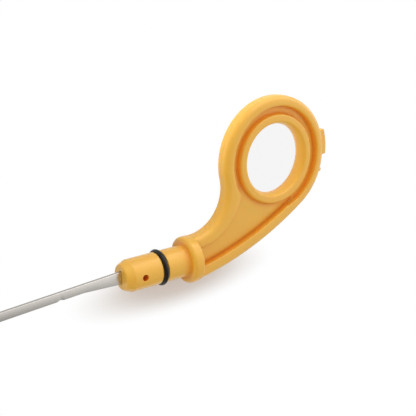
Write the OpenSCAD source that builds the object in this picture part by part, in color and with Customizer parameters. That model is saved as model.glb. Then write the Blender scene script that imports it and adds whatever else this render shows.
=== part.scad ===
// Engine oil dipstick: a moulded ring handle on a sealing plug, with a spring-steel blade.
// The plug's axis is X, with the blade toward -X and the ring handle toward +X.
// The ring's faces look along Z. The origin is the middle of the flange's seating face.

/* [Ring] */
// Distance of the ring's middle behind the flange's seating face
ring_x = 43.2; // [40:0.1:48]
// Distance of the ring's middle from the plug's axis
ring_y = 32.3; // [29:0.1:35]
// Outer radius of the ring
ring_r = 24.7; // [23.6:0.1:26.4]
// Radius of the finger hole at its narrowest
finger_r = 13.7; // [12:0.1:14.6]
// Outer radius of the raised lip round the finger hole
lip_r = 17.6; // [17:0.1:18.4]
// Thickness of the lip
lip_t = 6.4; // [5:0.1:6.8]
// Rounding of the lip's outer edge
lip_round = 0.8; // [0.3:0.1:1.4]
// Radius of the bulging inner face of the lip
lip_bulge_r = 5; // [4.6:0.1:9]
// Width of the rim round the ring
rim_w = 3.85; // [3.2:0.05:4.5]
// Thickness of the rim
rim_t = 6.8; // [5.6:0.1:7.6]
// Rounding of the rim's outer edges
rim_round = 2.3; // [1:0.05:2.6]
// Rounding of the edges round the pockets
pocket_round = 0.5; // [0.2:0.05:0.7]
// How far the pocket walls lean back from floor to edge
pocket_draft = 0.25; // [0.1:0.05:0.5]
// Thickness of the web at the bottom of the pockets
web_t = 2; // [1.4:0.1:3]

/* [Arm] */
// Radius of the hollow upper edge of the arm
arm_top_r = 15.5; // [14:0.1:17]
// Radius of the long lower edge of the arm
arm_low_r = 130; // [110:1:180]
// Width of the arm's upper rim near the flange
arm_top_w = 4.3; // [3.8:0.1:5]
// How much the upper rim widens toward the ring
arm_top_growth = 1.5; // [0.5:0.1:2]
// Width of the arm's lower rim
arm_low_w = 4.9; // [4.3:0.1:5.6]

/* [Flange] */
// Radius of the flange
flange_r = 8.9; // [8.5:0.1:10]
// Thickness of the flange
flange_t = 4.3; // [3:0.1:5.4]
// Rounding of the flange's front edge
flange_front_round = 1.5; // [0.4:0.1:1.8]
// Rounding of the flange's rear edge
flange_back_round = 0.6; // [0.2:0.1:1]

/* [Plug] */
// Radius of the plug
plug_r = 6; // [5.6:0.1:6.5]
// Length of the plug in front of the flange
plug_len = 26.4; // [25:0.1:31]
// Length of the plug's tapered nose
nose_len = 3.2; // [2:0.1:4]
// Radius of the nose's end face
nose_r = 4.7; // [4.2:0.1:5.3]
// Rounding of the nose's end
nose_round = 0.8; // [0.3:0.1:1.2]
// Distance of the seal's middle from the flange
seal_x = 10.7; // [8.5:0.1:11.4]
// Distance of the cross hole from the flange
hole_x = 19.5; // [18.6:0.1:21]
// Diameter of the cross hole
hole_d = 2.4; // [1.8:0.1:2.8]

/* [Seal] */
// Thickness of the sealing ring
seal_d = 1.8; // [1.6:0.05:2.1]
// How far the sealing ring stands above the plug
seal_proud = 0.8; // [0.4:0.05:1]
// Play between the sealing ring and the floor of its groove
seal_play = 0.02; // [0.01:0.01:0.05]
// Spare width of the groove beside the sealing ring
groove_play = 0.7; // [0.4:0.1:1]

/* [Blade] */
// Length of the blade in front of the plug
blade_len = 330; // [200:5:600]
// Width of the blade's strip
blade_w = 3.1; // [2.7:0.1:3.8]
// Width of the blade where it leaves the plug
root_w = 4.7; // [4.4:0.1:5.2]
// Length over which the root narrows to the strip
root_len = 15; // [8:0.5:20]
// Thickness of the blade
blade_t = 1.3; // [0.9:0.1:1.6]
// Lean of the strip away from the plug's axis, in degrees
blade_lean = 3.4; // [1:0.1:3.8]
// Length of the tang inside the plug
tang_len = 14; // [12.5:0.1:15]
// Play between the tang and its slot on each side
tang_play = 0.05; // [0.03:0.01:0.1]
// Distance of the anchor pillar from the cross hole
anchor_gap = 3.7; // [3.4:0.1:4.2]
// Diameter of the plastic anchor pillar through the tang
anchor_d = 2.2; // [1.6:0.1:2.6]
// Distance of the lower level hole from the blade's tip
level_low = 12; // [8:0.5:20]
// Distance between the two level holes
level_gap = 22; // [10:1:40]
// Diameter of the two level holes
level_d = 1.6; // [1:0.1:1.8]
// Distance of the small nick in the lower edge from the plug
nick_x = 23.8; // [21:0.1:30]
// Depth of the nick
nick_depth = 0.45; // [0.2:0.05:0.6]
// Width of the nick
nick_w = 2.6; // [1.5:0.1:3.5]

/* [Tab] */
// Length of the tab on the ring's outer face
tab_len = 10.4; // [6:0.1:13]
// How far the tab stands above the ring
tab_proud = 2.8; // [1:0.1:3.2]
// Thickness of the tab
tab_t = 2.2; // [1.2:0.1:3]
// Place of the tab's middle on the ring, in degrees
tab_angle = 6; // [0:0.5:20]
// Width of the small pip beside the tab
pip_w = 1.6; // [1:0.1:2]
// How far the pip stands above the ring
pip_proud = 2.2; // [1:0.1:3]
// Place of the pip on the ring, in degrees
pip_angle = -19.5; // [-30:0.5:-15]

/* [Hidden] */
$fn = 96;
long_fn = 256;
round_steps = 6;
bury = 0.6;
over = 1;

ring_c = [ring_x, ring_y];
rim_h = rim_t / 2;
web_h = web_t / 2;
pocket_r = ring_r - rim_w - pocket_draft;
edge_depth = rim_round + 0.9;
slab_inset = rim_round + 0.45;

// Middle of the hollow upper edge, which touches the ring and the flange's top line
top_y = flange_r + arm_top_r;
top_c = [ring_x - sqrt(pow(ring_r + arm_top_r, 2) - pow(ring_y - top_y, 2)), top_y];
top_angle = atan2(ring_y - top_c.y, ring_x - top_c.x);

// Middle of the long lower edge, which starts at the flange's low line and touches the ring from outside
low_start = [flange_t - bury, -flange_r];
low_reach = norm(ring_c - low_start);
low_dir = (ring_c - low_start) / low_reach;
low_inner = arm_low_r - ring_r;
low_along = (pow(low_reach, 2) + pow(arm_low_r, 2) - pow(low_inner, 2)) / (2 * low_reach);
low_aside = sqrt(pow(arm_low_r, 2) - pow(low_along, 2));
low_c = low_start + low_along * low_dir + low_aside * [-low_dir.y, low_dir.x];
low_angle_start = atan2(low_start.y - low_c.y, low_start.x - low_c.x);
low_angle_end = atan2(ring_y - low_c.y, ring_x - low_c.x);

// Wall of the arm's well below its upper rim: an arc set off from the outline, so that the rim
// widens toward the ring
well_top_r = arm_top_r + arm_top_w + arm_top_growth / 2;
well_top_c = top_c + [arm_top_growth, arm_top_growth / 2];
well_low_r = arm_low_r - arm_low_w;

groove_w = seal_d + groove_play;
groove_r = plug_r + seal_proud - seal_d - seal_play;
seal_mid_r = plug_r + seal_proud - seal_d / 2;
slot_w = root_w + 2 * tang_play;
slot_t = blade_t + 2 * tang_play;
anchor_x = hole_x - anchor_gap;

function arc(c, r, a0, a1, n = round_steps) =
    [for (i = [0:n]) c + r * [cos(a0 + (a1 - a0) * i / n), sin(a0 + (a1 - a0) * i / n)]];

// Pocket wall as [set-back, height] points, from the floor over a rounded edge to above the face
function wall(h, edge_r) = concat(
    [[0, web_h], [pocket_draft, h - edge_r]],
    arc([pocket_draft + edge_r, h - edge_r], edge_r, 170, 90),
    [[pocket_draft + edge_r, h + over]]
);

// Plan of the arm between its two long edges, up to where they touch the ring
module arm_plan(low_r, high_c, high_r) {
    low_out = ring_c + (ring_r + 2 * over) * [cos(low_angle_end), sin(low_angle_end)];
    difference() {
        intersection() {
            polygon([
                [low_start.x, low_start.y - over], low_out, ring_c, high_c, [low_start.x, high_c.y]
            ]);
            translate(low_c) circle(low_r, $fn = long_fn);
        }
        translate(high_c) circle(high_r);
    }
}

// Plan of ring and arm, set in from the outline
module head_plan(inset) {
    translate(ring_c) circle(ring_r - inset);
    arm_plan(arm_low_r - inset, top_c, arm_top_r + inset);
}

// Section of the outer edge, with the outline at x = 0 and both corners rounded
module edge_section() {
    for (s = [-1, 1]) translate([rim_round, s * (rim_h - rim_round)]) circle(rim_round);
    translate([0, rim_round - rim_h]) square([rim_round, rim_t - 2 * rim_round]);
    translate([rim_round, -rim_h]) square([edge_depth - rim_round, rim_t]);
}

// Outer edge of the head: three arcs that run into each other
module outer_edge() {
    translate(ring_c) rotate(low_angle_end)
        rotate_extrude(angle = 180 + top_angle - low_angle_end)
            translate([ring_r, 0]) mirror([1, 0]) edge_section();
    translate(top_c) rotate(-90)
        rotate_extrude(angle = 90 + top_angle)
            translate([arm_top_r, 0]) edge_section();
    translate(low_c) rotate(low_angle_start)
        rotate_extrude(angle = low_angle_end - low_angle_start, $fn = long_fn)
            translate([arm_low_r, 0]) mirror([1, 0]) edge_section();
}

// Pocket in one face: the dish round the ring and the well in the arm
module pocket() {
    translate(ring_c) rotate_extrude() polygon(concat(
        [[0, rim_h + over], [0, web_h]],
        [for (p = wall(rim_h, pocket_round)) [pocket_r + p.x, p.y]]
    ));
    translate([0, 0, web_h]) linear_extrude(rim_h - web_h + over)
        arm_plan(well_low_r, well_top_c, well_top_r);
}

// Raised lip round the finger hole, with a bulging inner face
module lip() {
    lip_h = lip_t / 2;
    face = wall(lip_h, lip_round);
    half = [for (p = face) if (p.y <= lip_h) [lip_r + pocket_draft - p.x, p.y]];
    translate(ring_c) rotate_extrude() intersection() {
        polygon(concat(
            [[finger_r - over, lip_h], [finger_r - over, -lip_h]],
            [for (i = [len(half) - 1:-1:0]) [half[i].x, -half[i].y]],
            half
        ));
        translate([finger_r + lip_bulge_r, 0]) circle(lip_bulge_r);
    }
}

// Raised tab and pip on the ring's outer face
module tab() {
    translate(ring_c) rotate(tab_angle) intersection() {
        translate([ring_r - rim_round, -tab_len / 2, -tab_t / 2])
            cube([rim_round + 2 * tab_proud, tab_len, tab_t]);
        cylinder(r = ring_r + tab_proud, h = 2 * tab_t, center = true);
    }
    translate(ring_c) rotate(pip_angle) {
        pip_mid = ring_r + pip_proud - pip_w / 2;
        translate([pip_mid, 0, 0]) cylinder(d = pip_w, h = pip_w, center = true);
        translate([ring_r - rim_round, -pip_w / 2, -pip_w / 2])
            cube([pip_mid - ring_r + rim_round, pip_w, pip_w]);
    }
}

module head() {
    difference() {
        union() {
            linear_extrude(rim_t, center = true) difference() {
                head_plan(slab_inset);
                translate(ring_c) circle(lip_r - over);
            }
            outer_edge();
        }
        pocket();
        mirror([0, 0, 1]) pocket();
    }
    lip();
    tab();
}

// Plug and flange as [radius, distance along the axis] points, turned about the axis
module plug_section() {
    nose_slope = atan2(plug_r - nose_r, nose_len);
    body = concat(
        [[0, -plug_len]],
        arc([nose_r - nose_round * tan(45 - nose_slope / 2), nose_round - plug_len], nose_round,
            -90, -nose_slope),
        [[plug_r, nose_len - plug_len], [plug_r, 0]],
        arc([flange_r - flange_front_round, flange_front_round], flange_front_round, -90, 0),
        arc([flange_r - flange_back_round, flange_t - flange_back_round], flange_back_round, 0, 90),
        [[0, flange_t]]
    );
    difference() {
        polygon(body);
        translate([groove_r, -seal_x - groove_w / 2]) square([plug_r, groove_w]);
    }
}

module plug() {
    difference() {
        rotate([0, 90, 0]) rotate_extrude() plug_section();
        translate([-plug_len - over, -slot_w / 2, -slot_t / 2])
            cube([tang_len + tang_play + over, slot_w, slot_t]);
        translate([-hole_x, 0, 0]) cylinder(d = hole_d, h = 2 * plug_r + over, center = true);
    }
    translate([-anchor_x, 0, 0])
        cylinder(d = anchor_d - 2 * tang_play, h = slot_t + over, center = true);
}

module handle() {
    color("orange") {
        plug();
        head();
    }
}

module o_ring() {
    color("dimgray") translate([-seal_x, 0, 0]) rotate([0, 90, 0])
        rotate_extrude() translate([seal_mid_r, 0]) circle(d = seal_d);
}

// Plan of the blade: tang, root with a straight upper edge, strip and round tip
module blade_plan() {
    rise = tan(blade_lean);
    strip_h = blade_w / cos(blade_lean);
    tip_x = blade_len - blade_w / 2;
    upper = function (d) root_w / 2 - rise * d;
    lower = function (d) upper(d) - strip_h;
    difference() {
        union() {
            polygon([
                [tang_len - plug_len, root_w / 2],
                [-plug_len, root_w / 2],
                [-plug_len - tip_x, upper(tip_x)],
                [-plug_len - tip_x, lower(tip_x)],
                [-plug_len - nick_x - nick_w / 2, lower(nick_x + nick_w / 2)],
                [-plug_len - nick_x, lower(nick_x) + nick_depth],
                [-plug_len - nick_x + nick_w / 2, lower(nick_x - nick_w / 2)],
                [-plug_len - root_len, lower(root_len)],
                [-plug_len, -root_w / 2],
                [tang_len - plug_len, -root_w / 2]
            ]);
            translate([-plug_len - tip_x, upper(tip_x) - strip_h / 2]) circle(d = strip_h);
        }
        for (d = [level_low, level_low + level_gap])
            translate([d - blade_len - plug_len, upper(blade_len - d) - strip_h / 2]) circle(d = level_d);
        translate([-hole_x, 0]) circle(d = hole_d);
        translate([-anchor_x, 0]) circle(d = anchor_d);
    }
}

module blade() {
    color("silver") linear_extrude(blade_t, center = true) blade_plan();
}

handle();
o_ring();
blade();
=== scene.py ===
"""Engine oil dipstick: a moulded ring handle on a sealing plug, an O-ring and a spring-steel blade.

The three pieces are surfaces worked out with numpy in millimetres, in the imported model's own frame:
the origin is the middle of the flange's seating face, the blade runs toward -X, the ring handle lies
toward +X and +Y, and the ring's faces look along Z. Each piece replaces one CAD node.
"""

import logging
import math
from dataclasses import dataclass, field
from enum import Enum
from functools import reduce

import bmesh
import bpy
import numpy as np
from bpy.types import ID, Material, Mesh, Node, NodeTree, Object, World
from bpy.types import NodeSocket as Socket
from mathutils import Matrix, Vector


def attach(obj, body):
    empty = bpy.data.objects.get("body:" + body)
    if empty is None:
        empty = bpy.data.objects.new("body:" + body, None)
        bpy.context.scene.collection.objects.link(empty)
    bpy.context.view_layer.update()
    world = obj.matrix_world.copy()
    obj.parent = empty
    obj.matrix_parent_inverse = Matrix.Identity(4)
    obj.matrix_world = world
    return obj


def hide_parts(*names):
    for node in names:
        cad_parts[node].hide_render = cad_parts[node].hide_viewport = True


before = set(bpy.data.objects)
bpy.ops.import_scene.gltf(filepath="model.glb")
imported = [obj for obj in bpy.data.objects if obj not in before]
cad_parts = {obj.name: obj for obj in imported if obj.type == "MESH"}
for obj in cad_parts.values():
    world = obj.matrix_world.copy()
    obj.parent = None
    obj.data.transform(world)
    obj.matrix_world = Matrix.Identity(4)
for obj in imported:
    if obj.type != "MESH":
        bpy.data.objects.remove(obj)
log = logging.getLogger("dipstick")

Array = np.ndarray
Pair = tuple[float, float]
Triple = tuple[float, float, float]
Colour = tuple[float, float, float, float]

# Metres in a millimetre, and a distance in millimetres that counts as none
MM, CLOSE = 0.001, 0.01
# Points on a rounded bar's corners, and how far its ends turn in, in degrees
BAR_STEPS, BAR_TURN = 5, 82


class Slot(Enum):
    """Material slots of the record for the pieces' finishes; nothing in the script reads them."""

    HANDLE = "handle_plastic"
    SEAL = "seal_rubber"
    BLADE = "blade_steel"


# Skins: points and faces as arrays


@dataclass
class Skin:
    """Surface in millimetres: points (n, 3), and the point numbers of quads (m, 4) and triangles (k, 3)."""

    points: Array
    quads: Array
    tris: Array = field(default_factory=lambda: np.zeros((0, 3), int))

    def capped(self, rim: Array) -> "Skin":
        """Closes a loop of point numbers with triangles round its middle.

        Args:
            rim: point numbers along the loop, in order.

        Returns:
            The skin with the fan.
        """
        fan = np.stack([rim, np.roll(rim, -1), np.full(len(rim), len(self.points))], axis=1)
        points = np.vstack([self.points, self.points[rim].mean(axis=0)])
        return Skin(points, self.quads, np.vstack([self.tris, fan]))


def joined(skins: list[Skin]) -> Skin:
    """Puts several skins into one, each keeping its own faces."""
    starts = np.cumsum([0] + [len(s.points) for s in skins[:-1]])
    quads = np.vstack([s.quads + n for s, n in zip(skins, starts)])
    tris = np.vstack([s.tris + n for s, n in zip(skins, starts)])
    return Skin(np.vstack([s.points for s in skins]), quads, tris)


def grid_quads(rows: int, cols: int, wrap_rows: bool = False, wrap_cols: bool = True) -> Array:
    """Faces of a grid of points, where point (i, j) has the number i * cols + j.

    Args:
        rows: number of rows.
        cols: number of columns.
        wrap_rows: whether the last row joins the first.
        wrap_cols: whether the last column joins the first.

    Returns:
        Point numbers by row, column and corner of the face.
    """
    i, j = np.meshgrid(np.arange(rows - (not wrap_rows)), np.arange(cols - (not wrap_cols)), indexing="ij")
    up, on = (i + 1) % rows, (j + 1) % cols
    return np.stack([i * cols + j, up * cols + j, up * cols + on, i * cols + on], axis=-1)


def tube(numbers: Array) -> Array:
    """Faces between rows of point numbers, where each row is a closed loop."""
    return numbers.ravel()[grid_quads(*numbers.shape)].reshape(-1, 4)


def border(numbers: Array) -> Array:
    """Closed loop of the point numbers at the edge of a grid."""
    return np.concatenate([numbers[0, :-1], numbers[:-1, -1], numbers[-1, :0:-1], numbers[:0:-1, 0]])


def loft(loops: Array, ring: bool = False) -> Skin:
    """Skin through a row of closed loops, capped at both ends or closed into a ring.

    Args:
        loops: array of shape (rows, cols, 3).
        ring: whether the last loop joins the first.

    Returns:
        The closed skin.
    """
    rows, cols = loops.shape[:2]
    skin = Skin(loops.reshape(-1, 3), grid_quads(rows, cols, wrap_rows=ring).reshape(-1, 4))
    return skin if ring else skin.capped(np.arange(cols)).capped((rows - 1) * cols + np.arange(cols))


def arc(centre: Pair | Array, radius: float, start: float, end: float, count: int) -> Array:
    """Points centre + radius * (cos a, sin a), for count angles a from start to end in degrees."""
    a = np.radians(np.linspace(start, end, count))
    return np.asarray(centre) + radius * np.stack([np.cos(a), np.sin(a)], axis=1)


def heading(way: Array) -> float:
    """Direction of a vector in plan, in degrees from +X."""
    return math.degrees(math.atan2(way[1], way[0]))


def turned(profile: Array, turns: int) -> Array:
    """Profile of [radius, height] points turned about Z: (radius cos a, radius sin a, height).

    Args:
        profile: array of shape (n, 2).
        turns: number of steps of the angle a round the circle.

    Returns:
        Array of shape (n, turns, 3).
    """
    a = np.linspace(0, 2 * np.pi, turns, endpoint=False)
    r, z = profile[:, :1], profile[:, 1:]
    return np.stack([r * np.cos(a), r * np.sin(a), z + 0 * a], axis=-1)


def reach(start: Array, way: Array, middle: Array, radius: float, far: bool) -> Array:
    """Distance t from each start along its way to a circle: |start + t way - middle| = radius.

    Args:
        start: points, shape (n, 2).
        way: unit directions, shape (n, 2).
        middle: the circle's middle.
        radius: its radius.
        far: True for the second crossing, False for the first.

    Returns:
        Distances, infinite where the line misses the circle.
    """
    offset = start - middle
    half = (offset * way).sum(axis=1)
    inner = half**2 - ((offset**2).sum(axis=1) - radius**2)
    root = np.sqrt(np.where(inner > 0, inner, 0))
    return np.where(inner > 0, -half + (root if far else -root), np.inf)


def round_corners(steps: int) -> tuple[Array, Array, Array]:
    """Four rounded corners of a rectangle, for sections of the form sign * core + edge * (cos a, sin a).

    Args:
        steps: points on each corner.

    Returns:
        The angles a in radians and the signs along both axes, each of shape (4 * steps,).
    """
    a = np.concatenate([q * np.pi / 2 + np.linspace(0, np.pi / 2, steps) for q in range(4)])
    return a, np.repeat([1, -1, -1, 1], steps), np.repeat([1, 1, -1, -1], steps)


def rounded_bar(half: Triple, edge: float, along: int = 9) -> Array:
    """Block with all edges rounded: a smaller block swelled by a ball of the edge's radius.

    The loops lie across Y. Toward each end the swelling is edge * cos t while y runs on by edge * sin t,
    with t up to BAR_TURN degrees, which leaves a small flat end.

    Args:
        half: half sizes along X, Y and Z.
        edge: radius of the rounded edges.
        along: loops on the straight part.

    Returns:
        Array of shape (loops, points, 3).
    """
    t = np.radians(np.linspace(0, BAR_TURN, BAR_STEPS))
    core = np.array(half) - edge
    y = np.concatenate([-core[1] - edge * np.sin(t[::-1]), np.linspace(-core[1], core[1], along)[1:-1],
                        core[1] + edge * np.sin(t)])
    swell = np.concatenate([edge * np.cos(t[::-1]), np.full(along - 2, edge), edge * np.cos(t)])[:, None]
    a, sx, sz = round_corners(BAR_STEPS)
    x = sx * core[0] + swell * np.cos(a)
    return np.stack([x, y[:, None] + 0 * x, sz * core[2] + swell * np.sin(a)], axis=-1)


def turned_in_plan(points: Array, degrees: float, middle: Array) -> Array:
    """Turns points (..., 3) about Z by an angle in degrees, and then moves the origin to middle in plan."""
    c, s = math.cos(math.radians(degrees)), math.sin(math.radians(degrees))
    return points @ [[c, s, 0], [-s, c, 0], [0, 0, 1]] + [*middle, 0]


def smooth(mesh: Mesh, sharp: float) -> None:
    """Shades a mesh smooth, but for edges that fold more than the angle sharp, in degrees."""
    mesh.shade_smooth()
    mesh.set_sharp_from_angle(angle=math.radians(sharp))


def in_scene(name: str, data: ID) -> Object:
    """New object of a mesh, a lens or a light, linked to the scene."""
    made = bpy.data.objects.new(name, data)
    bpy.context.scene.collection.objects.link(made)
    return made


def as_piece(name: str, skin: Skin, sharp: float) -> Object:
    """Makes a Blender object of a skin, in metres, with its faces pointing outwards.

    Args:
        name: name of the piece.
        skin: the skin in millimetres.
        sharp: what smooth takes.

    Returns:
        The object, at the origin.
    """
    mesh = bpy.data.meshes.new(name)
    mesh.from_pydata((skin.points * MM).tolist(), [], skin.quads.tolist() + skin.tris.tolist())
    tidy = bmesh.new()
    tidy.from_mesh(mesh)
    bmesh.ops.recalc_face_normals(tidy, faces=tidy.faces)
    tidy.to_mesh(mesh)
    tidy.free()
    smooth(mesh, sharp)
    return in_scene(name, mesh)


def points_of(piece: Object) -> Array:
    """Points of a piece in millimetres, shape (n, 3)."""
    places = np.empty(3 * len(piece.data.vertices), np.float32)
    piece.data.vertices.foreach_get("co", places)
    return places.reshape(-1, 3).astype(float) / MM


def mark(piece: Object, name: str, values: Array) -> None:
    """Stores one value for each point of a piece, as an attribute that its material reads."""
    layer = piece.data.attributes.new(name, "FLOAT", "POINT")
    layer.data.foreach_set("value", values.astype(np.float32))


def pierced(piece: Object, drills: list[Skin], sharp: float) -> None:
    """Cuts round holes through a piece and keeps the result as its mesh.

    Args:
        piece: the piece to cut.
        drills: closed skins in millimetres, one for each hole.
        sharp: what smooth takes.
    """
    drill = as_piece("drill", joined(drills), sharp)
    cut = piece.modifiers.new("holes", "BOOLEAN")
    cut.operation, cut.solver, cut.object = "DIFFERENCE", "EXACT", drill
    done = bpy.data.meshes.new_from_object(piece.evaluated_get(bpy.context.evaluated_depsgraph_get()))
    piece.modifiers.clear()
    old, piece.data = piece.data, done
    done.name = piece.name
    bpy.data.objects.remove(drill)
    bpy.data.meshes.remove(old)
    smooth(done, sharp)


# Finishes

# Scale, detail and roughness of noises, without the scale where a finish gives it
TONE_NOISE, POLISH_NOISE = (55.0, 2.0, 0.5), (420.0, 3.0, 0.6)
GRAIN_NOISE, STREAK_NOISE = (2.0, 0.55), (3.0, 0.65)
GRAIN_HEIGHT = 0.00004


class Bench:
    """Small helper that adds and links shader nodes in one node tree."""

    def __init__(self, tree: NodeTree) -> None:
        """Keeps the tree that nodes are added to."""
        self.tree = tree

    def fill(self, node: Node, *first: object, **inputs: object) -> Node:
        """Fills inputs of a node, with outputs to link or with plain values.

        Args:
            node: the node.
            first: for its first inputs, in order.
            inputs: for inputs by name, in lower case and with underscores for spaces.

        Returns:
            The same node.
        """
        pairs = list(zip(node.inputs, first))
        for key, value in inputs.items():
            wanted = key.replace("_", " ")
            pairs.append((next(s for s in node.inputs if s.name.lower() == wanted and s.enabled), value))
        for socket, value in pairs:
            if isinstance(value, Socket):
                self.tree.links.new(value, socket)
            else:
                socket.default_value = value
        return node

    def add(self, kind: str, settings: dict | None = None, *first: object,
            **inputs: object) -> Node:
        """Adds a node, sets its properties and fills its inputs.

        Args:
            kind: the node's type name.
            settings: properties of the node, by name.
            first: for fill, by order.
            inputs: for fill, by name.

        Returns:
            The new node.
        """
        node = self.tree.nodes.new(kind)
        for key, value in (settings or {}).items():
            setattr(node, key, value)
        return self.fill(node, *first, **inputs)

    def mix(self, factor: object, first: object, second: object, kind: str = "RGBA") -> Socket:
        """Mixes two colours, or two values where kind is FLOAT. A factor of 1 gives the second."""
        node = self.add("ShaderNodeMix", {"data_type": kind}, factor, a=first, b=second)
        return next(s for s in node.outputs if s.enabled)

    def span(self, value: Socket, low: float, high: float) -> Socket:
        """Maps a mask from 0..1 to low..high."""
        return self.add("ShaderNodeMapRange", value=value, to_min=low, to_max=high).outputs[0]

    def place(self) -> Socket:
        """Place in object space."""
        return self.add("ShaderNodeTexCoord").outputs["Object"]

    def read(self, name: str) -> Socket:
        """Values that mark stored under a name."""
        return self.add("ShaderNodeAttribute", {"attribute_name": name}).outputs["Fac"]

    def noise(self, place: Socket, scale: object, detail: float, rough: float) -> Socket:
        """Noise at a place, of a scale, a detail and a roughness."""
        node = self.add("ShaderNodeTexNoise", vector=place, scale=scale, detail=detail, roughness=rough)
        return node.outputs[0]

    def spread(self, noise: Socket) -> Socket:
        """Stretches a noise, which keeps near its middle, over 0..1."""
        return self.add("ShaderNodeMapRange", value=noise, from_min=0.3, from_max=0.7).outputs[0]

    def either(self, *masks: Socket) -> Socket:
        """Largest of several masks."""
        larger = {"operation": "MAXIMUM"}
        return reduce(lambda a, b: self.add("ShaderNodeMath", larger, a, b).outputs[0], masks)


def cleared(owner: Material | World) -> Bench:
    """Bench on the emptied node tree of a material or a world."""
    owner.use_nodes = True
    owner.node_tree.nodes.clear()
    return Bench(owner.node_tree)


def mould_skin_group() -> NodeTree:
    """Skin of a moulded piece: a fine spark-eroded grain, slow drifts of tone and patches of polish.

    All three are noise in object space. The grain, of the given scale, is lifted as a bump. The tone
    is many times slower, and the polish lies between the two.

    Returns:
        The node group, with outputs Tone, Polish and Normal.
    """
    tree = bpy.data.node_groups.new("mould_skin", "ShaderNodeTree")
    for name, low, high, value in (("Grain Scale", 100, 20000, 3600), ("Grain Depth", 0, 1, 0.2)):
        socket = tree.interface.new_socket(name, in_out="INPUT", socket_type="NodeSocketFloat")
        socket.min_value, socket.max_value, socket.default_value = low, high, value
    for name, kind in (("Tone", "Float"), ("Polish", "Float"), ("Normal", "Vector")):
        tree.interface.new_socket(name, in_out="OUTPUT", socket_type="NodeSocket" + kind)
    bench = Bench(tree)
    given = bench.add("NodeGroupInput").outputs
    kinds = ((given["Grain Scale"], *GRAIN_NOISE), TONE_NOISE, POLISH_NOISE)
    grain, tone, polish = (bench.noise(bench.place(), *kind) for kind in kinds)
    bump = bench.add("ShaderNodeBump", strength=given["Grain Depth"], distance=GRAIN_HEIGHT, height=grain)
    bench.add("NodeGroupOutput", {}, bench.spread(tone), bench.spread(polish), bump.outputs[0])
    return tree


def new_material(name: str, skin: NodeTree, grain: Pair) -> tuple:
    """Makes a material with a Principled shader wired to its output and the shared skin beside it.

    Args:
        name: the material's name.
        skin: the mould_skin group.
        grain: scale and depth of its grain.

    Returns:
        The material, a bench on its tree, its Principled node and the skin's outputs.
    """
    material = bpy.data.materials.new(name)
    bench = cleared(material)
    shader = bench.add("ShaderNodeBsdfPrincipled")
    bench.add("ShaderNodeOutputMaterial", surface=shader.outputs[0])
    return material, bench, shader, bench.add("ShaderNodeGroup", {"node_tree": skin}, *grain).outputs


@dataclass(frozen=True)
class AmberPlastic:
    """Satin amber engineering plastic that lets a little light in, with painted shade that turns its
    corners a deeper orange.
    """

    light: Colour = (0.92, 0.495, 0.046, 1)
    deep: Colour = (0.89, 0.462, 0.04, 1)
    # Painted shade: deeper orange colours for the corners at the lip and dish, and along the arm's well,
    # root and bore.
    groove: Colour = (1.0, 0.23, 0.012, 1)
    seam_shade: Colour = (0.83, 0.225, 0.016, 1)
    satin: Pair = (0.31, 0.39)
    grain: Pair = (4200.0, 0.22)
    shine: Pair = (0.5, 0.08)
    glow: float = 0.22
    glow_depth: float = 0.0012
    glow_colour: Triple = (1.0, 0.42, 0.1)
    polish: float = 0.35
    polish_satin: float = 0.26
    ior: float = 1.5

    def make(self, skin: NodeTree) -> Material:
        """Builds the material, with painted shade: duller and more orange in the corners marked on the
        piece.

        Args:
            skin: the shared mould_skin group.

        Returns:
            The material.
        """
        material, bench, shader, cover = new_material("amber_plastic", skin, self.grain)
        # Painted shade: marked corners take the deeper orange colours and lose most of their sheen.
        groove, seam_shade = bench.read("groove"), bench.read("seam_shade")
        corner = bench.either(groove, seam_shade)
        body = bench.mix(cover["Tone"], self.light, self.deep)
        bench.fill(
            shader,
            base_color=bench.mix(seam_shade, bench.mix(groove, body, self.groove), self.seam_shade),
            roughness=bench.span(cover["Polish"], *self.satin),
            normal=cover["Normal"],
            subsurface_weight=self.glow,
            subsurface_radius=self.glow_colour,
            subsurface_scale=self.glow_depth,
            ior=self.ior,
            specular_ior_level=bench.span(corner, *self.shine),
            coat_weight=bench.span(corner, self.polish, 0.0),
            coat_roughness=self.polish_satin,
        )
        return material


@dataclass(frozen=True)
class BlackRubber:
    """Satin black sealing rubber with a faint bloom on its surface."""

    black: Colour = (0.009, 0.008, 0.007, 1)
    bloom: Colour = (0.020, 0.017, 0.015, 1)
    satin: Pair = (0.28, 0.38)
    grain: Pair = (6500.0, 0.3)
    shine: float = 0.28

    def make(self, skin: NodeTree) -> Material:
        """Builds the material.

        Args:
            skin: the shared mould_skin group.

        Returns:
            The material.
        """
        material, bench, shader, cover = new_material("black_rubber", skin, self.grain)
        bench.fill(
            shader,
            base_color=bench.mix(cover["Polish"], self.black, self.bloom),
            roughness=bench.span(cover["Tone"], *self.satin),
            normal=cover["Normal"],
            specular_ior_level=self.shine,
        )
        return material


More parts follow.
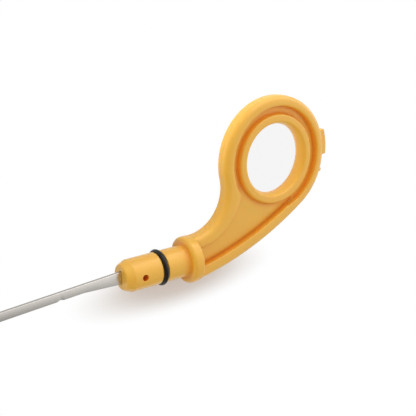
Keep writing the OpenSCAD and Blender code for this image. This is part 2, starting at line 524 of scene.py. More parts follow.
@dataclass(frozen=True)
class BrushedSteel:
    """Spring steel brushed along the blade, with fine streaks, soft clouds and duller cut edges."""

    bright: Colour = (0.80, 0.765, 0.72, 1)
    dull: Colour = (0.69, 0.655, 0.605, 1)
    sheared: Colour = (0.45, 0.425, 0.39, 1)
    satin: Pair = (0.3, 0.18)
    clouds: Pair = (0.55, 1.0)
    grain: Pair = (2600.0, 0.15)
    streak: float = 9000.0
    stretch: float = 0.018
    streak_lift: float = 0.22
    streak_height: float = 0.00003

    def make(self, skin: NodeTree) -> Material:
        """Builds the material. The streaks are fine noise, drawn out along the blade.

        Args:
            skin: the shared mould_skin group, whose patches of polish cloud the steel.

        Returns:
            The material.
        """
        material, bench, shader, cover = new_material("brushed_steel", skin, self.grain)
        drawn = bench.add("ShaderNodeMapping", vector=bench.place(), scale=(self.stretch, 1.0, 1.0))
        fine = bench.noise(drawn.outputs[0], self.streak, *STREAK_NOISE)
        streaks = bench.spread(fine)
        cloudy = bench.add("ShaderNodeMath", {"operation": "MULTIPLY"}, streaks,
                           bench.span(cover["Polish"], *self.clouds))
        face = bench.mix(cloudy.outputs[0], self.dull, self.bright)
        bump = bench.add("ShaderNodeBump", strength=self.streak_lift, distance=self.streak_height,
                         height=fine, normal=cover["Normal"])
        bench.fill(
            shader,
            base_color=bench.mix(bench.read("edge"), face, self.sheared),
            roughness=bench.span(streaks, *self.satin),
            normal=bump.outputs[0],
            metallic=1.0,
        )
        return material


# The moulded handle


@dataclass
class MouldedHandle:
    """Ring, arm, flange and plug in one moulding. Lengths are in millimetres, angles in degrees.

    The fields from corner_reach on say how the painted corner shade is laid on, and those from stations on
    how fine the mesh is and where its rows lie.
    """

    ring_x: float = 43.2
    ring_y: float = 32.3
    ring_r: float = 24.7
    finger_r: float = 13.7
    lip_r: float = 17.6
    lip_t: float = 6.4
    lip_round: float = 0.8
    lip_bulge_r: float = 5.0
    lip_edge: float = 1.0
    lip_lean: float = 6.0
    rim_w: float = 3.85
    rim_t: float = 6.8
    rim_round: float = 2.3
    rim_crown: float = 0.06
    rim_lean: float = 8.0
    pocket_round: float = 0.5
    pocket_draft: float = 0.25
    foot: float = 0.3
    foot_run: float = 0.4
    foot_sink: float = 0.12
    web_t: float = 2.0
    web_inset: float = 2.6
    bury: float = 0.6
    arm_top_r: float = 15.5
    arm_low_r: float = 130.0
    arm_top_w: float = 4.3
    arm_top_growth: float = 1.5
    arm_low_w: float = 4.9
    flange_r: float = 8.9
    flange_t: float = 4.3
    flange_front_round: float = 1.5
    flange_back_round: float = 0.6
    plug_r: float = 6.0
    plug_len: float = 26.4
    nose_len: float = 3.2
    nose_r: float = 4.7
    nose_round: float = 0.8
    shoulder_round: float = 1.2
    shoulder_shift: float = 0.12
    root_round: float = 0.55
    seal_x: float = 10.7
    groove_w: float = 2.5
    groove_r: float = 4.98
    groove_edge: float = 0.12
    groove_corner: float = 0.2
    hole_x: float = 19.5
    hole_d: float = 2.4
    hole_edge: float = 0.14
    slot_half_w: float = 2.43
    slot_half_t: float = 0.74
    slot_depth: float = 14.1
    slot_power: int = 8
    slot_mouth: tuple[Pair, ...] = ((0.0, 0.9), (0.0, 0.1), (0.1, 0.0), (1.0, 0.0))
    parting: float = 0.05
    parting_rows: Triple = (0.03, 0.10, 0.5)
    tab_len: float = 10.4
    tab_proud: float = 2.8
    tab_t: float = 2.2
    tab_edge: float = 0.28
    tab_angle: float = 6.0
    pip_w: float = 1.6
    pip_proud: float = 2.2
    pip_edge: float = 0.45
    pip_angle: float = -19.5
    # Painted shade in the corners: its reach, its falloff and its share at each kind of corner.
    corner_reach: float = 0.95
    corner_power: float = 1.4
    dish_share: float = 0.66
    arm_low_share: float = 1.0
    arm_top_share: float = 0.5
    root_share: float = 0.6
    arm_span: Pair = (-178.0, -62.0)
    back_margin: float = 0.5
    stations: tuple[int, int, int] = (86, 250, 120)
    web_grid: tuple[int, int] = (61, 41)
    web_rows: int = 19
    turns: int = 192
    lip_turns: int = 256
    row_gap: float = 0.3
    plug_rows: tuple[float, ...] = (-3.5, -6.5)
    land_rows: tuple[float, ...] = (-14.5, -16.2)
    back_rows: Pair = (0.4, 0.8)
    shoulder_row: float = 1.0
    cone_row: float = 1.4
    window: float = 1.8
    window_rows: int = 13
    window_cols: int = 9
    bore_row: float = 0.5
    tab_rows: int = 15
    sharp: float = 38.0

    @property
    def middle(self) -> Array:
        """Middle of the ring in plan."""
        return np.array([self.ring_x, self.ring_y])

    @property
    def rim_h(self) -> float:
        """Half the rim's thickness."""
        return self.rim_t / 2

    @property
    def web_h(self) -> float:
        """Half the web's thickness."""
        return self.web_t / 2

    def hollow_edge(self) -> tuple[Array, float]:
        """Middle of the arm's hollow upper edge, and the angle at which that edge meets the ring.

        The edge touches the flange's top line and the ring, so its middle is arm_top_r above that line
        and ring_r + arm_top_r from the ring's middle.

        Returns:
            The middle, and the angle in degrees.
        """
        y = self.flange_r + self.arm_top_r
        x = self.ring_x - math.sqrt((self.ring_r + self.arm_top_r) ** 2 - (self.ring_y - y) ** 2)
        centre = np.array([x, y])
        return centre, heading(self.middle - centre)

    def long_edge(self) -> tuple[Array, float, float]:
        """Middle of the arm's long lower edge, and the angles of its start and end.

        The edge starts at the flange's low line and touches the ring from outside. Its middle is where
        a circle of arm_low_r round the start crosses one of arm_low_r - ring_r round the ring's middle.

        Returns:
            The middle, the start's angle and the end's angle, in degrees.
        """
        start = np.array([self.flange_t - self.bury, -self.flange_r])
        gap = self.middle - start
        length = float(np.hypot(*gap))
        unit = gap / length
        inner = self.arm_low_r - self.ring_r
        along = (length**2 + self.arm_low_r**2 - inner**2) / (2 * length)
        aside = math.sqrt(self.arm_low_r**2 - along**2)
        centre = start + along * unit + aside * np.array([-unit[1], unit[0]])
        return centre, heading(start - centre), heading(self.middle - centre)

    def upper_wall(self) -> tuple[Array, float]:
        """Middle and radius of the well's upper wall, which leaves the hollow edge toward the ring."""
        growth = np.array([self.arm_top_growth, self.arm_top_growth / 2])
        return self.hollow_edge()[0] + growth, self.arm_top_r + self.arm_top_w + growth[1]

    def outline(self) -> tuple[Array, Array, Array]:
        """Stations along the outline, from the flange's top over the ring to the flange's low line.

        The outline is three arcs that run into each other: the hollow upper edge, the ring and the long
        lower edge. Each station has a unit way into the material and the rim's width along it, which is
        the shortest of the ways to the ring's pocket circle and to the wall of the arm's well.

        Returns:
            Points (n, 2), ways (n, 2) and widths (n,).
        """
        top, top_end = self.hollow_edge()
        low, low_start, low_end = self.long_edge()
        ring = self.middle
        upper = arc(top, self.arm_top_r, -90, top_end, self.stations[0])[:-1]
        over = arc(ring, self.ring_r, 180 + top_end, low_end, self.stations[1])
        lower = arc(low, self.arm_low_r, low_end, low_start, self.stations[2])[1:]
        points = np.vstack([upper, over, lower])
        ways = np.vstack([(upper - top) / self.arm_top_r, (ring - over) / self.ring_r,
                          (low - lower) / self.arm_low_r])
        width = reach(points, ways, ring, self.ring_r - self.rim_w, far=False)
        a, b = len(upper), len(points) - len(lower)
        well_top = reach(points[:a], ways[:a], *self.upper_wall(), far=True)
        well_low = reach(points[b:], ways[b:], low, self.arm_low_r - self.arm_low_w, far=False)
        width[:a], width[b:] = np.minimum(width[:a], well_top), np.minimum(width[b:], well_low)
        return points, ways, width

    def wall_foot(self, at: float, lean: float) -> Array:
        """Foot of a pocket wall: a small hollow arc down to the web, run on under the web's face.

        Args:
            at: place of the wall's top edge along the section.
            lean: lean of the wall in degrees.

        Returns:
            Points [along, height], shape (7, 2).
        """
        at += self.pocket_draft + self.foot
        hollow = arc((at, self.web_h + self.foot), self.foot, 180 + lean, 270, 6)
        return np.vstack([hollow, [at + self.foot_run, self.web_h - self.foot_sink]])

    def rim_section(self, width: Array) -> Array:
        """Section of the rim for each width, as [way in, height] points.

        From the parting line it climbs the outer wall, goes over the rounded outer edge and the
        crowned top, turns down the rounded pocket edge, leans in along the wall by the draft and ends
        in the wall's foot. The lower half is its mirror image.

        Args:
            width: widths of the rim, shape (n,).

        Returns:
            Array of shape (n, m, 2).
        """
        h, r, e = self.rim_h, self.rim_round, self.pocket_round
        w = width[:, None]
        crest, base, above = self.parting_rows
        ridge = [[-self.parting, 0.0], [-self.parting, crest], [0.0, base], [0.0, above]]
        outer = np.vstack([ridge, arc((r, h - r), r, 180, 90, 12)])
        inner = np.vstack([arc((-e, h - e), e, 90, self.rim_lean, 7), self.wall_foot(0.0, self.rim_lean)])
        t = np.linspace(0, 1, 9)[1:-1]
        crown = h + self.rim_crown * (1 - (2 * t - 1) ** 2)
        inward = np.concatenate([outer[:, 0] + 0 * w, r + t * (w - e - r), inner[:, 0] + w], axis=1)
        height = np.concatenate([outer[:, 1], crown, inner[:, 1]]) + 0 * w
        half = np.stack([inward, height], axis=-1)
        return np.concatenate([half, half[:, :0:-1] * [1, -1]], axis=1)

    def rim(self) -> Skin:
        """Rim of ring and arm: the rim's section carried along the outline, at outline + way * way in.

        Returns:
            The closed skin, whose ends lie inside the flange.
        """
        points, ways, width = self.outline()
        section = self.rim_section(width)
        plan = points[:, None] + ways[:, None] * section[..., :1]
        return loft(np.dstack([plan, section[..., 1]]))

    def web_round_lip(self) -> Skin:
        """Web between rim and lip: a rectangle turned about the ring's axis.

        Returns:
            The closed skin.
        """
        across = np.linspace(self.lip_r - self.bury, self.ring_r - self.web_inset, self.web_rows)
        face = np.column_stack([across, np.full(len(across), self.web_h)])
        profile = np.vstack([face * [1, -1], face[::-1]])
        return loft(turned(profile, self.turns) + [*self.middle, 0], ring=True)

    def web_of_arm(self) -> Skin:
        """Web of the arm: a flat plate stretched between four edges.

        Its low and top edges are the outline's arcs set in under the rim, its left edge is straight and
        stands in the flange, and its right edge is the rim of the ring's own web. A point is ruled
        straight from the low to the top edge, plus its share along them of the right edge's bow.

        Returns:
            The closed skin.
        """
        top, top_end = self.hollow_edge()
        low, low_start, low_end = self.long_edge()
        inset, (rows, cols) = self.web_inset, self.web_grid
        u, v = np.linspace(0, 1, rows)[:, None, None], np.linspace(0, 1, cols)[None, :, None]
        top_edge = arc(top, self.arm_top_r + inset, -90, top_end, rows)[:, None]
        low_edge = arc(low, self.arm_low_r - inset, low_start, low_end, rows)[:, None]
        right = arc(self.middle, self.ring_r - inset, low_end, top_end - 180, cols)[None]
        ruled = (1 - v) * low_edge + v * top_edge
        flat = (ruled + u * (right - ruled[-1:])).reshape(-1, 2)
        points = np.vstack([np.insert(flat, 2, z, axis=1) for z in (self.web_h, -self.web_h)])
        face = grid_quads(rows, cols, wrap_cols=False).reshape(-1, 4)
        edge = border(np.arange(rows * cols).reshape(rows, cols))
        return Skin(points, np.vstack([face, face + len(flat), tube(np.stack([edge, edge + len(flat)]))]))

    def lip(self) -> Skin:
        """Raised lip round the finger hole.

        Its section has a bulging inner face, an arc of lip_bulge_r, then a rounded inner edge that
        touches that arc and the crest, a flat crest, a rounded outer edge and a leaning wall with its
        foot. It is mirrored below and turned about the ring's axis.

        Returns:
            The closed skin.
        """
        h, big, small, e = self.lip_t / 2, self.lip_bulge_r, self.lip_edge, self.lip_round
        core = self.finger_r + big
        back = math.sqrt((big - small) ** 2 - (h - small) ** 2)
        swing = math.degrees(math.atan2(h - small, back))
        half = np.vstack([
            arc((core, 0), big, 180, 180 - swing, 14),
            arc((core - back, h - small), small, 180 - swing, 90, 8)[1:],
            arc((self.lip_r - e, h - e), e, 90, self.lip_lean, 7),
            self.wall_foot(self.lip_r, self.lip_lean),
        ])
        section = np.vstack([half, half[:0:-1] * [1, -1]])
        return loft(turned(section, self.lip_turns) + [*self.middle, 0], ring=True)

    def plug_profile(self) -> Array:
        """Outer profile of flange and plug as [x, radius] points, from the flange's back to the nose.

        Flange edges, the seal channel's edges and nose are rounded by arcs, and the nose narrows along a
        cone. More points on the straight stretches keep the faces short. Round the cross hole they stand
        0.3 apart.

        Returns:
            Array of shape (n, 2).
        """
        fr, ft, front, back = self.flange_r, self.flange_t, self.flange_front_round, self.flange_back_round
        pr, gr, root, gap = self.plug_r, self.groove_r, self.root_round, self.row_gap
        e, c, bend, end = self.groove_edge, self.groove_corner, self.shoulder_round, self.nose_round
        near, far = -self.seal_x + self.groove_w / 2, -self.seal_x - self.groove_w / 2
        shoulder = self.nose_len - self.plug_len
        slope = math.degrees(math.atan2(pr - self.nose_r, self.nose_len))
        end_r = self.nose_r - end * math.tan(math.radians(45 - slope / 2))
        window = np.linspace(self.window, -self.window, self.window_rows) - self.hole_x

        def land(*places: float) -> Array:
            """Points on the plug's wall."""
            return np.column_stack([places, np.full(len(places), pr)])

        return np.vstack([
            [[ft, share * fr] for share in self.back_rows],
            arc((ft - back, fr - back), back, 0, 90, 7),
            [[ft - back - 2 * gap, fr]],
            arc((front, fr - front), front, 90, 180, 12),
            [[0.0, pr + 3 * gap]],
            arc((-root, pr + root), root, 0, -90, 8),
            land(*self.plug_rows, near + e + gap),
            arc((near + e, pr - e), e, 90, 180, 4),
            [[near, gr + gap]],
            arc((near - c, gr + c), c, 0, -90, 4),
            arc((far + c, gr + c), c, -90, -180, 4),
            [[far, gr + gap]],
            arc((far - e, pr - e), e, 0, 90, 4),
            land(far - e - gap, *self.land_rows, *window, shoulder + self.shoulder_row),
            arc((shoulder + self.shoulder_shift, pr - bend), bend, 90, 90 + slope, 4),
            [[shoulder - self.cone_row, pr - self.cone_row * math.tan(math.radians(slope))]],
            arc((end - self.plug_len, end_r), end, 90 + slope, 180, 8),
        ])

    def slot_loops(self) -> Array:
        """Loops of the slot in the nose's end face, from its mouth inwards.

        Each is a superellipse |y / a|^p + |z / b|^p = 1, with p = slot_power, which is a rectangle with
        small round corners. slot_mouth holds how deep the first loops lie and how much wider they are.

        Returns:
            Array of shape (loops, turns, 3).
        """
        t = np.linspace(0, 2 * np.pi, self.turns, endpoint=False)
        depth, wider = np.array([*self.slot_mouth, (self.slot_depth, 0.0)]).T[..., None]
        y, z = np.cos(t) / (self.slot_half_w + wider), np.sin(t) / (self.slot_half_t + wider)
        r = (np.abs(y) ** self.slot_power + np.abs(z) ** self.slot_power) ** (-1 / self.slot_power)
        return np.stack([depth - self.plug_len + 0 * r, r * np.cos(t), r * np.sin(t)], axis=-1)

    def hole_rings(self, rim: Array) -> Array:
        """Rings from a rim on the plug's wall to the cross hole and on into its bore.

        In plan they blend the rim to a circle, close in over the small rounded edge and end at the
        bore. Each point is lifted onto the wall by z = sqrt(radius^2 - y^2), less its drop.

        Args:
            rim: [x, y] points round the hole's middle, shape (n, 2).

        Returns:
            Array of shape (rings, n, 3).
        """
        bore, edge = self.hole_d / 2, self.hole_edge
        ray = rim / np.linalg.norm(rim, axis=1, keepdims=True)
        blend = np.linspace(0, 1, 6)[1:, None, None]
        bend = np.radians(np.linspace(0, 90, 5))[1:, None, None]
        plan = np.concatenate([rim + blend * (ray * (bore + edge) - rim),
                               ray * (bore + edge - edge * np.sin(bend)), ray[None] * bore])
        drop = np.concatenate([0 * blend, edge * (1 - np.cos(bend)), [[[self.plug_r]]]])
        lift = np.sqrt(self.plug_r**2 - plan[..., 1:] ** 2) - drop
        return np.concatenate([plan - [self.hole_x, 0], np.maximum(lift, self.bore_row)], axis=-1)

    def plug(self) -> Skin:
        """Flange and plug with the blade's slot and the cross hole.

        The profile is turned about X and runs on into the slot. Round the cross hole a window of the
        grid is left out on both sides, and rings lead from one window through the bore to the other.

        Returns:
            The closed skin.
        """
        profile = self.plug_profile()
        loops = np.concatenate([turned(profile[:, ::-1], self.turns)[..., [2, 0, 1]], self.slot_loops()])
        rows, cols = loops.shape[:2]
        points, quads = loops.reshape(-1, 3), grid_quads(rows, cols)
        i0, i1 = np.flatnonzero(np.abs(profile[:, 0] + self.hole_x) < self.window + CLOSE)[[0, -1]]
        j0, j1 = cols // 4 - self.window_cols, cols // 4 + self.window_cols
        keep = np.ones(quads.shape[:2], bool)
        keep[i0:i1, j0:j1] = keep[i0:i1, cols - j1:cols - j0] = False
        window = np.arange(rows * cols).reshape(rows, cols)[i0:i1 + 1]
        top, low = border(window[:, j0:j1 + 1]), border(window[:, cols - j0:cols - j1 - 1:-1])
        upper = self.hole_rings(points[top, :2] + [self.hole_x, 0])
        rings = np.concatenate([upper, upper[::-1] * [1, 1, -1]])
        inside = len(points) + np.arange(rings[..., 0].size).reshape(rings.shape[:2])
        faces = np.vstack([quads[keep], tube(np.vstack([top, inside, low]))])
        skin = Skin(np.vstack([points, rings.reshape(-1, 3)]), faces)
        return skin.capped(np.arange(cols)).capped((rows - 1) * cols + np.arange(cols))

    def corners(self, points: Array) -> dict[str, Array]:
        """How deep each point sits in a corner, for the painted shade that makes the plastic darker and
        more orange there.

        The depth is share * exp(-(away / corner_reach)^corner_power), with the distance to the nearest
        corner. The walls' feet round the lip and round the ring's dish take the brighter, redder shade.
        Those along the arm's well, the plug's root and the cross hole's bore take the darker one, full in
        the bore.

        Args:
            points: array of shape (n, 3).

        Returns:
            Depths of painted shade from 0 to 1 for the two kinds of corner, each of shape (n,).
        """
        x, y, z = points.T
        ring, draft = self.middle, self.pocket_draft
        out = np.degrees(np.arctan2(y - ring[1], x - ring[0]))
        at_arm = (out > self.arm_span[0]) & (out < self.arm_span[1])
        behind = x > self.flange_t - self.back_margin

        def depth(beside: Array, above: Array, share: float) -> Array:
            """Depth by the distances beside and above a corner."""
            return share * np.exp(-((np.hypot(beside, above) / self.corner_reach) ** self.corner_power))

        def foot(centre: Array, radius: float, share: float) -> Array:
            """Depth at the foot of a wall along a circle."""
            return depth(np.hypot(x - centre[0], y - centre[1]) - radius, np.abs(z) - self.web_h, share)

        wall, wall_r = self.upper_wall()
        dish = foot(ring, self.ring_r - self.rim_w - draft, self.dish_share) * ~at_arm
        groove = np.maximum(foot(ring, self.lip_r + draft, self.dish_share), dish)
        low = foot(self.long_edge()[0], self.arm_low_r - self.arm_low_w - draft, self.arm_low_share)
        seam_shade = np.maximum(low, foot(wall, wall_r + draft, self.arm_top_share)) * at_arm
        root = depth(x, np.hypot(y, z) - self.plug_r, self.root_share)
        # Painted shade fills the cross hole's bore.
        bore = np.hypot(x + self.hole_x, y) < self.hole_d / 2 + CLOSE
        return {"groove": behind * groove, "seam_shade": np.where(behind, seam_shade, np.where(bore, 1.0, root))}

    def tab(self) -> Skin:
        """Raised tab on the ring: a rounded bar bent to the ring, x less the sag of its outer circle."""
        deep = (self.tab_proud + self.rim_round) / 2
        bar = rounded_bar((deep, self.tab_len / 2, self.tab_t / 2), self.tab_edge, self.tab_rows)
        bar[..., 0] += np.sqrt((self.ring_r + self.tab_proud) ** 2 - bar[..., 1] ** 2) - deep
        return loft(turned_in_plan(bar, self.tab_angle, self.middle))

    def pip(self) -> Skin:
        """Small pip beside the tab: a bar with generously rounded edges."""
        deep = (self.pip_proud + self.rim_round) / 2
        bar = rounded_bar((deep, self.pip_w / 2, self.pip_w / 2), self.pip_edge)
        bar[..., 0] += self.ring_r + self.pip_proud - deep
        return loft(turned_in_plan(bar, self.pip_angle, self.middle))

    def build(self, finish: Material) -> Object:
        """Makes the piece.

        Args:
            finish: its material.

        Returns:
            The piece.
        """
        webs = [self.web_round_lip(), self.web_of_arm()]
        whole = joined([self.plug(), self.rim(), *webs, self.lip(), self.tab(), self.pip()])
        piece = as_piece("handle_moulding", whole, self.sharp)
        # Stores the painted corner shade on the points, for the material.
        for name, depths in self.corners(points_of(piece)).items():
            mark(piece, name, depths)
        piece.data.materials.append(finish)
        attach(piece, "root")
        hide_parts("handle")
        return piece


# The sealing ring


@dataclass
class SealRing:
    """Sealing ring round the plug, in millimetres."""

    x: float = -MouldedHandle.seal_x
    mid_r: float = 5.9
    thick: float = 1.8
    flash: float = 0.025
    flash_spread: float = 0.07
    section_steps: int = 72
    turns: int = 200
    sharp: float = 60.0

    def build(self, finish: Material) -> Object:
        """Makes the piece: a circle of the ring's thickness carried round X.

        The section's radius is thick / 2 plus a faint flash line, flash * exp(-(b / flash_spread)^2),
        where b is the angle from the outermost point.

        Args:
            finish: its material.

        Returns:
            The piece.
        """
        b = np.linspace(-np.pi, np.pi, self.section_steps, endpoint=False)
        r = self.thick / 2 + self.flash * np.exp(-((b / self.flash_spread) ** 2))
        section = np.stack([self.mid_r + r * np.cos(b), self.x + r * np.sin(b)], axis=1)
        loops = turned(section, self.turns)[..., [2, 0, 1]]
        piece = as_piece("sealing_ring", loft(loops, ring=True), self.sharp)
        piece.data.materials.append(finish)
        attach(piece, "root")
        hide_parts("o_ring")
        return piece


# The blade


@dataclass
class SteelBlade:
    """Flat spring-steel blade, in millimetres, with the lean in degrees."""

    plug_len: float = MouldedHandle.plug_len
    length: float = 330.0
    strip_w: float = 3.1
    root_w: float = 4.7
    root_len: float = 15.0
    thick: float = 1.3
    lean: float = 3.4
    tang_len: float = 14.0
    level_low: float = 12.0
    level_gap: float = 22.0
    level_d: float = 1.6
    hole_x: float = MouldedHandle.hole_x
    hole_d: float = MouldedHandle.hole_d
    anchor_x: float = 15.8
    anchor_d: float = 2.2
    nick_x: float = 23.8
    nick_depth: float = 0.45
    nick_w: float = 2.6
    edge: float = 0.13
    near_len: float = 40.0
    near_step: float = 0.65
    root_rows: int = 16
    far_rows: int = 90
    tip_rows: int = 14
    corner_steps: int = 4
    drill_half: float = 2.0
    drill_turns: int = 48
    sharp: float = 24.0

    def upper(self, d: Array) -> Array:
        """Height of the upper edge at distance d in front of the plug: level inside it, then leaning."""
        return self.root_w / 2 - math.tan(math.radians(self.lean)) * np.maximum(d, 0)

    def strip_h(self) -> float:
        """Height of the leaning strip, measured along Y."""
        return self.strip_w / math.cos(math.radians(self.lean))

    def lower(self, d: Array) -> Array:
        """Height of the lower edge at distance d in front of the plug.

        It runs straight from the root's width to the strip's over root_len, follows the upper edge
        after that, and steps up by a shallow triangle at the nick.

        Args:
            d: distances in front of the plug's nose.

        Returns:
            Heights along Y.
        """
        strip = self.upper(d) - self.strip_h()
        share = np.clip(d / self.root_len, 0, 1)
        root_end = float(self.upper(np.array(self.root_len))) - self.strip_h()
        root = -self.root_w / 2 + share * (root_end + self.root_w / 2)
        nick = np.clip(1 - np.abs(d - self.nick_x) / (self.nick_w / 2), 0, 1) * self.nick_depth
        return np.where(d < self.root_len, root, strip) + nick

    def loops(self) -> Array:
        """Sections across the blade, rectangles with rounded edges, from the tang's end to the tip.

        At the tip both edges close in on each other along a half circle, by sqrt(1 - s^2) of their
        distance, where s runs from 0 to 1 over the last half width.

        Returns:
            Array of shape (n, 16, 3).
        """
        tip_r = self.strip_h() / 2
        tip = self.length - tip_r
        d = np.unique(np.concatenate([
            [-self.tang_len, -1.0],
            np.linspace(0, self.root_len, self.root_rows),
            np.arange(self.root_len, self.near_len, self.near_step),
            self.nick_x + self.nick_w / 2 * np.array([-1, 0, 1]),
            np.linspace(self.near_len, tip, self.far_rows),
            tip + tip_r * np.sin(np.linspace(0, np.pi / 2, self.tip_rows))[:-1],
        ]))[:, None]
        high, low = self.upper(d), self.lower(d)
        half = (high - low) / 2 * np.sqrt(1 - np.clip((d - tip) / tip_r, 0, 1) ** 2)
        e = np.minimum(self.edge, 0.9 * half)
        a, sy, sz = round_corners(self.corner_steps)
        y = (high + low) / 2 + sy * (half - e) + e * np.cos(a)
        z = sz * (self.thick / 2 - e) + e * np.sin(a)
        return np.stack([-self.plug_len - d + 0 * y, y, z], axis=-1)

    def edge_share(self, points: Array) -> Array:
        """Share of sheared edge at each point: 1 on the narrow edges below the rounding of the face.

        Args:
            points: array of shape (n, 3).

        Returns:
            Shares from 0 to 1, shape (n,).
        """
        x, y, z = points.T
        d = -self.plug_len - x
        outermost = np.minimum(self.upper(d) - y, y - self.lower(d)) < self.edge / 2
        return 1.0 * (outermost & (np.abs(z) < (self.thick - self.edge) / 2))

    def drills(self) -> list[Skin]:
        """Round drills for the level holes, the cross hole and the anchor's hole."""
        places = [(-self.hole_x, 0.0, self.hole_d), (-self.anchor_x, 0.0, self.anchor_d)]
        for back in (self.level_low, self.level_low + self.level_gap):
            d = self.length - back
            places.append((-self.plug_len - d, float(self.upper(d)) - self.strip_h() / 2, self.level_d))
        ends = np.array([[1, -self.drill_half], [1, self.drill_half]])
        return [loft(turned(ends * [dia / 2, 1], self.drill_turns) + [x, y, 0]) for x, y, dia in places]

    def build(self, finish: Material) -> Object:
        """Makes the piece.

        Args:
            finish: its material.

        Returns:
            The piece.
        """
        piece = as_piece("steel_blade", loft(self.loops()), self.sharp)
        pierced(piece, self.drills(), self.sharp)
        mark(piece, "edge", self.edge_share(points_of(piece)))
        piece.data.materials.append(finish)
        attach(piece, "root")
        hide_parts("blade")
        return piece


# The studio


@dataclass(frozen=True)
class Lamp:
    """Soft rectangular lamp, in metres and watts. An unmirrored one makes no sheen."""

    name: str
    place: Triple
    watts: float
    width: float
    height: float
    mirrored: bool = True


@dataclass(frozen=True)
class Patch:
    """Soft oval on the floor, in metres. It is full up to core of its half sizes, then fades out."""

    middle: Pair
    half: Pair
    core: float


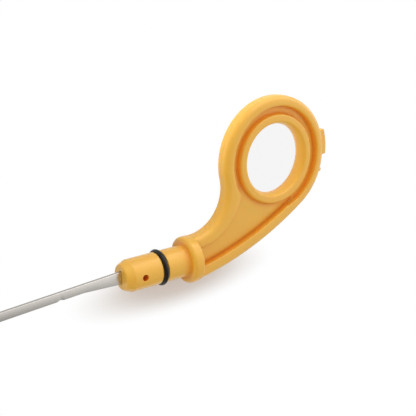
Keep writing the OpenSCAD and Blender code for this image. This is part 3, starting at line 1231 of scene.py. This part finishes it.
@dataclass
class Studio:
    """White table under an even sky, light bounced from the table behind, and the photograph's camera."""

    camera_place: Triple = (-149.9, 110.6, 232.9)
    look_at: Triple = (12.154, 18.159, 0.0)
    roll: float = -0.024
    focal: float = 795.4
    picture: int = 416
    sensor: float = 36.0
    clip: Pair = (0.01, 20.0)
    floor_z: float = -8.93
    floor_reach: float = 3.0
    sky: float = 0.745
    room: float = 0.2
    backdrop: float = 2.5
    backdrop_way: Triple = (0.7, 0.7, -0.1)
    backdrop_start: float = -0.4
    table: float = 0.85
    bounce: float = 1.4
    table_colour: Colour = (0.55, 0.55, 0.55, 1)
    # Painted shadow: light grey of the table seen through the ring's hole.
    ring_shadow_grey: Colour = (0.91, 0.91, 0.91, 1)
    shade_tint: Colour = (0.46, 0.425, 0.40, 1)
    # Patch of the painted shadow under the ring's hole.
    ring_shadow: Patch = Patch((0.0507, 0.0293), (0.0185, 0.0185), 0.93)
    under_plug: Patch = Patch((0.003, -0.012), (0.050, 0.0135), 0.25)
    behind: Patch = Patch((0.05, 0.40), (0.59, 0.385), 0.9)
    lamp_aim: Triple = (0.012, 0.018, 0)
    lamps: tuple[Lamp, ...] = (
        Lamp("left_lamp", (-0.46, 0.42, 0.07), 0.2, 0.5, 0.12, mirrored=False),
        Lamp("right_lamp", (0.20, 0.60, 0.07), 0.25, 0.5, 0.12),
        Lamp("ring_lamp", (0.08, 0.24, 0.17), 0.05, 0.12, 0.12),
    )

    def camera(self) -> None:
        """Sets the camera by its place, aim and roll in radians, with the focal length in pixels."""
        place, aim = np.array(self.camera_place), np.array(self.look_at)
        back = (place - aim) / np.linalg.norm(place - aim)
        right = np.cross([0, 1, 0], back)
        right /= np.linalg.norm(right)
        up = np.cross(back, right)
        c, s = math.cos(self.roll), math.sin(self.roll)
        axes = np.stack([c * right + s * up, -s * right + c * up, back], axis=1)
        lens = bpy.data.cameras.new("camera")
        lens.sensor_width, lens.lens = self.sensor, self.focal / self.picture * self.sensor
        lens.clip_start, lens.clip_end = self.clip
        camera = in_scene("camera", lens)
        camera.matrix_world = Matrix.LocRotScale(Vector(place * MM), Matrix(axes.tolist()), None)
        bpy.context.scene.camera = camera

    def hang(self, lamp: Lamp) -> None:
        """Adds a lamp that looks at the handle.

        Args:
            lamp: its place, power and size.
        """
        light = bpy.data.lights.new(lamp.name, "AREA")
        light.energy, light.shape = lamp.watts, "RECTANGLE"
        light.size, light.size_y = lamp.width, lamp.height
        body = in_scene(lamp.name, light)
        way = Vector(self.lamp_aim) - Vector(lamp.place)
        body.matrix_world = Matrix.LocRotScale(Vector(lamp.place), way.to_track_quat("-Z", "Y"), None)
        body.visible_glossy = lamp.mirrored

    def world(self) -> None:
        """White surroundings: full white where looked at, an even sky for light, a gradient for sheens.

        Glossy rays see a strength that climbs evenly with way . backdrop_way, from the dim room on the
        camera's side to the bright backdrop.
        """
        world = bpy.data.worlds.new("studio")
        bench = cleared(world)
        path = bench.add("ShaderNodeLightPath").outputs
        way = bench.add("ShaderNodeTexCoord").outputs["Generated"]
        toward = bench.add("ShaderNodeVectorMath", {"operation": "DOT_PRODUCT"}, way, self.backdrop_way)
        sheen = bench.add("ShaderNodeMapRange", value=toward.outputs["Value"], from_min=self.backdrop_start,
                          to_min=self.room, to_max=self.backdrop)
        plain = bench.span(path["Is Camera Ray"], self.sky, 1.0)
        strength = bench.mix(path["Is Glossy Ray"], plain, sheen.outputs[0], "FLOAT")
        sky = bench.add("ShaderNodeBackground", color=(1, 1, 1, 1), strength=strength)
        bench.add("ShaderNodeOutputWorld", surface=sky.outputs[0])
        bpy.context.scene.world = world

    def mask(self, bench: Bench, patch: Patch) -> Socket:
        """Mask of a patch: it falls smoothly from 1 to 0 with the distance |(place - middle) / half|.

        Args:
            bench: bench on the floor's tree.
            patch: the oval.

        Returns:
            The mask's output.
        """
        shifted = bench.add("ShaderNodeMapping", {"vector_type": "TEXTURE"}, vector=bench.place(),
                            location=(*patch.middle, self.floor_z * MM), scale=(*patch.half, 1.0))
        away = bench.add("ShaderNodeVectorMath", {"operation": "LENGTH"}, vector=shifted.outputs[0])
        fall = bench.add("ShaderNodeMapRange", {"interpolation_type": "SMOOTHSTEP"},
                         value=away.outputs["Value"], from_min=patch.core, to_min=1.0, to_max=0.0)
        return fall.outputs[0]

    def floor(self) -> None:
        """Wide table top under the flange.

        Where it is looked at, it is plain white, with a light grey painted shadow in the ring, and really
        shaded under the plug. For all other light it is a pale table that is brightly lit behind the part.
        """
        e, z = self.floor_reach, self.floor_z * MM
        mesh = bpy.data.meshes.new("floor")
        mesh.from_pydata([(-e, -e, z), (e, -e, z), (e, e, z), (-e, e, z)], [], [(0, 1, 2, 3)])
        floor = in_scene("floor", mesh)
        material = bpy.data.materials.new("white_table")
        bench = cleared(material)
        path = bench.add("ShaderNodeLightPath").outputs
        glossy = path["Is Glossy Ray"]
        seen = bench.either(path["Is Camera Ray"], glossy, path["Is Transmission Ray"])
        bright = bench.span(self.mask(bench, self.behind), 0.0, self.bounce)
        # Painted shadow: the table looked at through the ring turns light grey.
        white_and_ring_shadow = bench.mix(self.mask(bench, self.ring_shadow), (1, 1, 1, 1), self.ring_shadow_grey)
        white = bench.add("ShaderNodeEmission", color=white_and_ring_shadow, strength=bench.span(glossy, 1.0, self.table))
        diffuse = [bench.add("ShaderNodeBsdfDiffuse", color=colour).outputs[0]
                   for colour in (self.table_colour, self.shade_tint, self.shade_tint)]
        far = bench.add("ShaderNodeEmission", strength=bright)
        lit = bench.add("ShaderNodeAddShader", {}, diffuse[0], far.outputs[0])
        shaded = bench.add("ShaderNodeAddShader", {}, diffuse[1], diffuse[2])
        near = self.mask(bench, self.under_plug)
        looked_at = bench.add("ShaderNodeMixShader", {}, near, white.outputs[0], shaded.outputs[0])
        pick = bench.add("ShaderNodeMixShader", {}, seen, lit.outputs[0], looked_at.outputs[0])
        bench.add("ShaderNodeOutputMaterial", surface=pick.outputs[0])
        mesh.materials.append(material)

    def build(self) -> None:
        """Sets camera, floor, surroundings and lamps."""
        bpy.context.scene.view_settings.view_transform = "Standard"
        self.camera()
        self.floor()
        self.world()
        for lamp in self.lamps:
            self.hang(lamp)


def main() -> None:
    logging.basicConfig(level=logging.INFO, format="%(message)s")
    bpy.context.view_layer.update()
    Studio().build()
    skin = mould_skin_group()
    pieces = [
        MouldedHandle().build(AmberPlastic().make(skin)),
        SealRing().build(BlackRubber().make(skin)),
        SteelBlade().build(BrushedSteel().make(skin)),
    ]
    for piece in pieces:
        log.info("%s: %d points, %d faces", piece.name, len(piece.data.vertices), len(piece.data.polygons))


if __name__ == "__main__":
    main()
